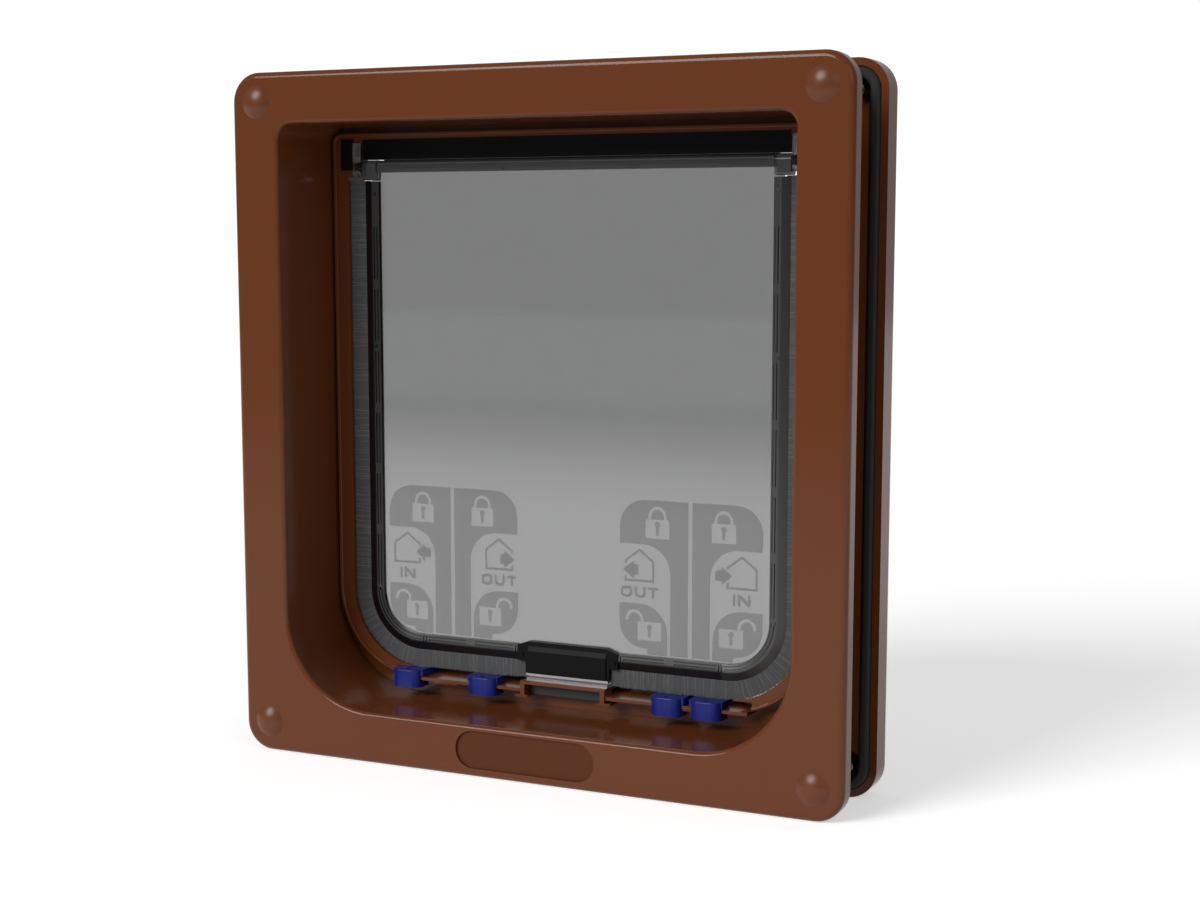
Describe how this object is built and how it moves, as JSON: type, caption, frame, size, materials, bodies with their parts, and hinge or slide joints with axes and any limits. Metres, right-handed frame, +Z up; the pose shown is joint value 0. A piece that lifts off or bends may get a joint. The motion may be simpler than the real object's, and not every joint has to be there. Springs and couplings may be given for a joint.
{
  "type": "cat flap",
  "caption": "Brown framed cat flap for a door: clear swinging flap with black edge trims, brush seal and magnet, and four blue sliders on the sill that lock it in or out.",
  "frame": {"origin": "middle of the bottom of the bounding box: under the frame foot, half way between the cap tips and the outside frame back face", "axes": "+X to the right seen from the room side, +Y through the door to the outside, +Z up"},
  "size_m": [0.2, 0.0404, 0.211],
  "materials": {
    "brown_plastic": "moulded, satin gloss",
    "black_plastic": "moulded, low sheen",
    "blue_plastic": "moulded, glossy",
    "clear_plastic": "polished clear plastic",
    "black_rubber": "soft foam rubber",
    "brush_pile": "short woven pile",
    "bright_steel": "plated sheet",
    "dark_magnet": "sintered, dull",
    "screw_steel": "zinc plated"
  },
  "bodies": {
    "frame": {"front_frame": "brown_plastic", "rear_frame": "brown_plastic", "lock_rail": "brown_plastic", "door_gasket": "black_rubber", "fixing_screw_1": "screw_steel", "fixing_screw_2": "screw_steel", "fixing_screw_3": "screw_steel", "fixing_screw_4": "screw_steel", "screw_cap_1": "brown_plastic", "screw_cap_2": "brown_plastic", "screw_cap_3": "brown_plastic", "screw_cap_4": "brown_plastic", "strike_plate": "bright_steel", "frame_magnet": "dark_magnet", "hinge_clip_left": "clear_plastic", "hinge_clip_right": "clear_plastic", "draught_strip": "black_plastic"},
    "flap": {"flap_panel": "clear_plastic", "trim_left": "black_plastic", "trim_right": "black_plastic", "trim_bottom_left": "black_plastic", "trim_bottom_right": "black_plastic", "trim_top": "black_plastic", "brush_left": "brush_pile", "brush_right": "brush_pile", "magnet_holder": "black_plastic", "flap_magnet": "bright_steel"},
    "slider_in_left": {"slider_in_left": "blue_plastic"},
    "slider_out_left": {"slider_out_left": "blue_plastic"},
    "slider_out_right": {"slider_out_right": "blue_plastic"},
    "slider_in_right": {"slider_in_right": "blue_plastic"}
  },
  "joints": [
    {"name": "flap_swing", "type": "hinge", "parent": "frame", "child": "flap", "pos_m": [0, 0.0122, 0.1832], "axis": [1, 0, 0], "range_deg": [-85, 85]},
    {"name": "slide_in_left", "type": "slide", "parent": "frame", "child": "slider_in_left", "axis": [1, 0, 0], "range_m": [0, 0.00725]},
    {"name": "slide_out_left", "type": "slide", "parent": "frame", "child": "slider_out_left", "axis": [-1, 0, 0], "range_m": [0, 0.00725]},
    {"name": "slide_out_right", "type": "slide", "parent": "frame", "child": "slider_out_right", "axis": [-1, 0, 0], "range_m": [0, 0.00725]},
    {"name": "slide_in_right", "type": "slide", "parent": "frame", "child": "slider_in_right", "axis": [1, 0, 0], "range_m": [0, 0.00725]}
  ]
}
